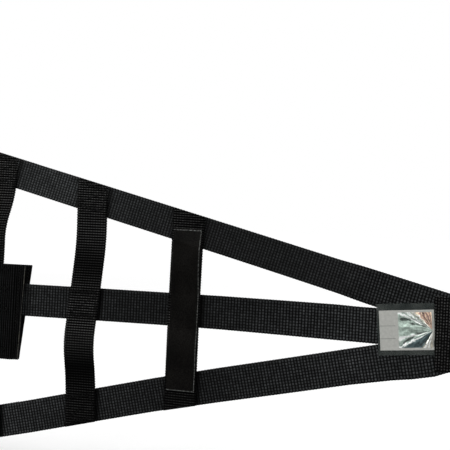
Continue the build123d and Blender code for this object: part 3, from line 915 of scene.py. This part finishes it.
steps = ((belt_end + 0.004, near_y), (step_x + step_run, near_y), (step_x, -run_y), (outer_x, -run_y))
corners = [(x, y, 0) for x, y in steps]
corners += [(tube_path * cos(t), tube_path * sin(t), 0) for t in np.linspace(2 * pi - touch, touch, 60)]
corners.append(far_start + far_along * 0.017)
cuts = [((belt_end, 0, 0), (cos(belt_skew), 0, -sin(belt_skew)))]
route = even_route(corners, belt_rib)
belt = webbing("rear_belt_webbing", route, (0, 0, 1), belt_w, belt_ridge, belt_yarns, cuts=cuts)
dress(belt, belt_nylon, "belt_webbing", "net", "rear_belt")
corners = [
    (tail_end + 0.005, run_y, 0), (far_x, run_y, 0), far_start + far_along * 0.012 + far_out * web_t,
    far_start + far_along * 0.070 + far_out * web_t,
]
cuts = [((tail_end, 0, 0), (cos(tail_skew), 0, -sin(tail_skew)))]
route = even_route(corners, belt_rib)
tail = webbing("belt_tail_webbing", route, (0, 0, 1), belt_w, belt_ridge, belt_yarns, cuts=cuts)
dress(tail, belt_nylon, "belt_webbing", "net", "belt_tail")
legs = []
for x, y, skew, out in (
    (belt_end - 0.0042, -web_t, belt_skew, outward),
    (tail_end - 0.0018, web_t, tail_skew, outward),
    (tail_end - 0.0030, 2 * web_t, tail_skew, inward),
    (tail_end - 0.0065, 2 * web_t, tail_skew, inward),
):
    ends = [(x + z * tan(skew), y, z) for z in (-0.0355, 0.0355)]
    legs += zigzag_row(*ends, (0.0011, 0, 0), out)
for x in (belt_end + 0.0030, belt_end + 0.0052):
    legs += zigzag_row((x, 0, mid_z - 0.0115), (x, 0, mid_z + 0.0115), (0.0010, 0, 0), outward)
for z in (-0.030, mid_z - 0.009, mid_z + 0.009, 0.034):
    for out, y in ((outward, -2 * web_t), (inward, 2 * web_t)):
        legs += zigzag_row((0.100, y, z), (0.126, y, z), (0, 0, 0.0016), out)
for slant in (0.008, -0.008):
    ends = [(0.103, -2 * web_t, mid_z - slant), (0.126, -2 * web_t, mid_z + slant)]
    legs += straight_row(*ends, outward)
stitches("rear_belt_stitches", legs, "net", "belt_webbing", pressed=(belt, tail))
fray_in = belt_w / 2 - 0.0010
ends = [(belt_end - 0.0003 + z * tan(belt_skew), -web_t - 0.00015, z) for z in (-fray_in, fray_in)]
fray = stitches("rear_belt_fray", straight_row(*ends, outward, 0.0012), "net", "belt_webbing", 0.00024)
singed_nylon, surface = shader("singed_nylon")
melted = span(noise(object_place(surface), 420.0, 3.0), 0.4, 0.62)
singed = blend(melted, (0.008, 0.008, 0.007), (0.13, 0.125, 0.10))
put(surface, {"Base Color": singed, "Roughness": 0.6})
fray.data.materials[0] = singed_nylon

# Belt slide
# A zinc-plated steel slide with three bars, which clamps the belt's two layers behind the tube. It is
# stamped and bent, so that its edges are rounded and its plating is a little mottled.
def bevelled(name, source, width, material, slot, body):
    """Dressed copy of a rigid CAD node, with its sharp edges rounded, in place of the node."""
    bm = bmesh.new()
    bm.from_mesh(nodes[source].data)
    bmesh.ops.remove_doubles(bm, verts=bm.verts, dist=1e-6)
    bmesh.ops.dissolve_limit(bm, angle_limit=radians(0.3), verts=bm.verts, edges=bm.edges)
    sharp = [e for e in bm.edges if e.is_manifold and e.calc_face_angle() > radians(30)]
    bmesh.ops.bevel(
        bm, geom=sharp, offset=width, offset_type="OFFSET", affect="EDGES", segments=2, profile=0.5,
        clamp_overlap=True, material=-1,
    )
    smooth_faces(bm)
    mesh = mesh_of(name, bm)
    mesh.set_sharp_from_angle(angle=radians(40))
    made = link_object(name, mesh)
    made.modifiers.new("even_normals", "WEIGHTED_NORMAL").keep_sharp = True
    return dress(made, material, slot, body, source)


def plated(name, dull, bright, rough, spangle, brush):
    """Plated steel: soft mottling at one scale, and fine lines left by brushing along one axis."""
    material, surface = shader(name)
    place = object_place(surface)
    cells = node("ShaderNodeTexVoronoi", {"Vector": place, "Scale": spangle}).outputs["Color"]
    cell = axes_of(cells)["X"]
    cloud = noise(place, 110.0, 4.0, 0.5)
    mottle = math("ADD", product(cell, 0.35), product(cloud, 0.65))
    lines = noise(stretched(place, brush), 1.0, 3.0)
    haze = span(math("MULTIPLY_ADD", cloud, 0.5, lines), 0.5, 1.0, rough - 0.1, rough + 0.12)
    put(surface, {"Base Color": blend(mottle, dull, bright), "Roughness": haze, "Metallic": 1.0})
    relief(surface, math("MULTIPLY_ADD", cloud, 0.6, lines), 0.00004)
    return material


zinc_plate = plated(
    "zinc_plate", (0.30, 0.30, 0.295), (0.56, 0.56, 0.57), rough=0.38, spangle=420.0,
    brush=(300.0, 300.0, 2600.0),
)
bevelled("belt_slide_steel", "belt_slide", 0.0005, zinc_plate, "slide_steel", "net")

# Bolt-in brackets
# Three plates of 3 mm zinc-plated steel. Each has a round bar for its webbing and an eye for the bolt
# that fixes it to its mount, and its edges are tumbled smooth.
for name in ("top", "bottom", "front"):
    bevelled(f"{name}_anchor_plate", f"{name}_anchor", 0.0004, zinc_plate, "plate_steel", f"{name}_bracket")

# Buckle tongue
# A nickel-plated steel tongue, brighter than the brackets, with fine scratches along its blade where it
# slides into the buckle.
nickel_plate = plated(
    "nickel_plate", (0.42, 0.41, 0.385), (0.66, 0.64, 0.60), rough=0.26, spangle=900.0,
    brush=(120.0, 2600.0, 2600.0),
)
bevelled("tongue_plate", "tongue", 0.0004, nickel_plate, "tongue_steel", "tongue")

# Buckle case
# Two halves of black glass-filled nylon with a fine moulded grain, which meet at a parting line and are
# riveted through. It has ribbed hollows for finger and thumb, and a raised rim round the button.
case_low, case_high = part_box("buckle_case")
case_middle = (case_low + case_high) / 2
button_low, button_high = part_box("buckle_button")
button_middle = (button_low + button_high) / 2
grained_plastic, surface = shader("grained_plastic")
place = object_place(surface)
pits = {"Vector": place, "Scale": 1500.0}
grain = node("ShaderNodeTexVoronoi", pits, feature="SMOOTH_F1").outputs["Distance"]
scuffs = noise(stretched(place, (40.0, 90.0, 700.0)), 1.0, 5.0, 0.4)
scuffs = product(span(scuffs, 0.62, 0.74), 0.5)
dust = span(noise(place, 45.0, 5.0), 0.35, 0.75)
black = blend(dust, (0.008, 0.008, 0.009), (0.019, 0.019, 0.020))
scuffed, dulled = blend(scuffs, black, (0.07, 0.07, 0.07)), span(dust, 0.0, 1.0, 0.46, 0.62)
put(surface, {"Base Color": scuffed, "Roughness": dulled, "Specular IOR Level": 0.35})
relief(surface, grain, 0.00007)
case = bevelled("buckle_case_shell", "buckle_case", 0.0004, grained_plastic, "case_plastic", "buckle")
seam_w, seam_deep, slot_half = 0.0005, 0.0004, 0.0229
bm = bmesh.new()
bm.from_mesh(case.data)
for y in (-seam_w / 2, 0.0, seam_w / 2):
    cut(bm, (0, mid_y + y, 0), (0, 1, 0), clear=False)
bm.normal_update()
for v in bm.verts:
    if abs(v.co.y - mid_y) < 1e-6 and abs(v.co.z - case_middle.z) > slot_half:
        v.co -= v.normal * seam_deep
bm.to_mesh(case.data)
bm.free()

grip_r, grip_deep = 0.040, 0.0014
rib_pitch, rib_w, rib_proud, rib_l, rib_round = 0.0022, 0.0011, 0.0008, 0.0150, 0.000462
bm = bmesh.new()
for side in (1, -1):
    for step in range(-3, 4):
        off = step * rib_pitch
        floor_z = (case_high.z - case_middle.z) - grip_deep + off * off / (2 * grip_r)
        lie = (case_middle.x + off, case_middle.y, case_middle.z + side * (floor_z - 0.0002))
        size = Matrix.Diagonal((rib_w, rib_l - abs(off) * 0.5, 2 * rib_proud, 1))
        bmesh.ops.create_cube(bm, size=1, matrix=Matrix.Translation(lie) @ size)
bmesh.ops.bevel(bm, geom=bm.edges[:], offset=rib_round, affect="EDGES", segments=3, profile=0.5, material=-1)
smooth_faces(bm)
ribs = link_object("buckle_grip_ribs", mesh_of("buckle_grip_ribs", bm))
dress(ribs, grained_plastic, "case_plastic", "buckle")

rim_in, rim_w, rim_proud, rim_sunk, rim_round, rim_bevel = 0.0272, 0.0014, 0.0008, 0.0003, 0.0034, 0.00045
bm = bmesh.new()
rim_place = (button_middle.x, case_low.y + rim_sunk, button_middle.z)
lay_flat = Matrix.Translation(rim_place) @ Matrix.Rotation(pi / 2, 4, "X")
bmesh.ops.create_grid(bm, x_segments=1, y_segments=1, size=rim_in / 2 + rim_w, matrix=lay_flat)
bmesh.ops.bevel(
    bm, geom=bm.verts[:], offset=rim_round + rim_w, affect="VERTICES", segments=8, profile=0.5, material=-1
)
bmesh.ops.inset_region(bm, faces=bm.faces[:], thickness=rim_w, use_boundary=True, use_even_offset=True)
inner = max(bm.faces, key=lambda side: side.calc_area())
bmesh.ops.delete(bm, geom=[inner], context="FACES_ONLY")
raised = bmesh.ops.extrude_face_region(bm, geom=bm.faces[:])
tops = [g for g in raised["geom"] if isinstance(g, bmesh.types.BMVert)]
bmesh.ops.translate(bm, verts=tops, vec=(0, -rim_proud - rim_sunk, 0))
rounded = [e for e in bm.edges if len(e.link_faces) == 2 and e.calc_face_angle() > 1.0 and e.verts[0] in tops]
bmesh.ops.bevel(bm, geom=rounded, offset=rim_bevel, affect="EDGES", segments=3, profile=0.5, material=-1)
smooth_faces(bm)
bmesh.ops.recalc_face_normals(bm, faces=bm.faces)
rim_mesh = mesh_of("buckle_button_rim", bm)
rim_mesh.set_sharp_from_angle(angle=radians(50))
dress(link_object("buckle_button_rim", rim_mesh), grained_plastic, "case_plastic", "buckle")

# Radius and height of each point of a tubular rivet's head
rivet_profile = (
    (0.0, -0.0001), (0.0011, -0.0001), (0.0013, 0.0004), (0.0017, 0.0007), (0.0022, 0.0007), (0.0027, 0.0004),
    (0.0029, -0.0002),
)
rivet_inset, rivet_off = 0.008, 0.0245
bm = bmesh.new()
line = [bm.verts.new((r, h, 0)) for r, h in rivet_profile]
for a, b in zip(line, line[1:]):
    bm.edges.new((a, b))
geom = bm.verts[:] + bm.edges[:]
bmesh.ops.spin(bm, geom=geom, cent=(0, 0, 0), axis=(0, 1, 0), angle=2 * pi, steps=24, use_merge=True)
bmesh.ops.remove_doubles(bm, verts=bm.verts, dist=1e-6)
one_rivet = mesh_of("rivet", bm)
bm = bmesh.new()
for x in (case_low.x + rivet_inset, case_high.x - rivet_inset):
    for z in (case_middle.z - rivet_off, case_middle.z + rivet_off):
        for face_y, turn in ((case_high.y, 1), (case_low.y, -1)):
            stamp(bm, one_rivet, Matrix.Translation((x, face_y, z)) @ Matrix.Diagonal((1, turn, 1, 1)))
fill_holes(bm)
bmesh.ops.recalc_face_normals(bm, faces=bm.faces)
smooth_faces(bm)
rivets = link_object("buckle_rivets", mesh_of("buckle_rivets", bm))
dress(rivets, zinc_plate, "plate_steel", "buckle")

# Push button
# A blank red button, smoother than the case, with a shallow dish that use has rubbed dull. It stands
# proud of its window, so that it is found by feel.
red_plastic, surface = shader("red_plastic")
place = object_place(surface)
rubbed = span(distance(place, tuple(button_middle)), 0.005, 0.012, 1.0, 0.0)
wear_and_painted_light = product(rubbed, span(noise(place, 160.0, 4.0), 0.4, 0.7))
fleck = span(noise(place, 1300.0, 3.0), 0.3, 0.7)
red = blend(fleck, (0.33, 0.009, 0.008), (0.44, 0.014, 0.012))
matt = span(wear_and_painted_light, 0.0, 1.0, 0.28, 0.50)
put(surface, {"Base Color": blend(wear_and_painted_light, red, (0.50, 0.035, 0.028)), "Roughness": matt})
relief(surface, noise(place, 1800.0), 0.00002)
bevelled("buckle_button_cap", "buckle_button", 0.00025, red_plastic, "button_plastic", "buckle")

# Buckle frame
# The plate that is riveted into the case and carries the sling's bar, of the brackets' zinc-plated steel.
bevelled("buckle_frame_plate", "buckle_frame", 0.0003, zinc_plate, "plate_steel", "buckle")

# Anchor sling
# A closed loop of the front strap's webbing round the bars of the buckle and the front bracket. Its ends
# meet on the inner side, and a box of stitching joins its two layers.
frame_bar, front_bar = Vector((0.6638, mid_y, front_z)), Vector((0.7378, mid_y, front_z))
joint_x, joint_gap = (frame_bar.x + front_bar.x) / 2, 0.0001
corners = [(joint_x - joint_gap, inner_y, front_z), (frame_bar.x + loop_run, inner_y, front_z)]
corners += bar_fold(frame_bar, (1, 0, 0))[::-1]
corners += [(frame_bar.x + loop_run, outer_y, front_z), (front_bar.x - loop_run, outer_y, front_z)]
corners += bar_fold(front_bar, (-1, 0, 0))
corners += [(front_bar.x - loop_run, inner_y, front_z), (joint_x + joint_gap, inner_y, front_z)]
route = even_route(corners, wide_rib)
sling = webbing("anchor_sling_webbing", route, *wide, hung=False)
dress(sling, wide_nylon, "front_webbing", "sling", "anchor_sling")
legs = []
for out, y in ((outward, 0.0), (inward, 2 * web_t)):
    legs += seam_box(joint_x, (-0.014, -0.0025, 0.0025, 0.014), 0.0013, (-0.0125, 0.0125), y, out)
stitches("anchor_sling_stitches", legs, "sling", "front_webbing", pressed=(sling,), hung=False)
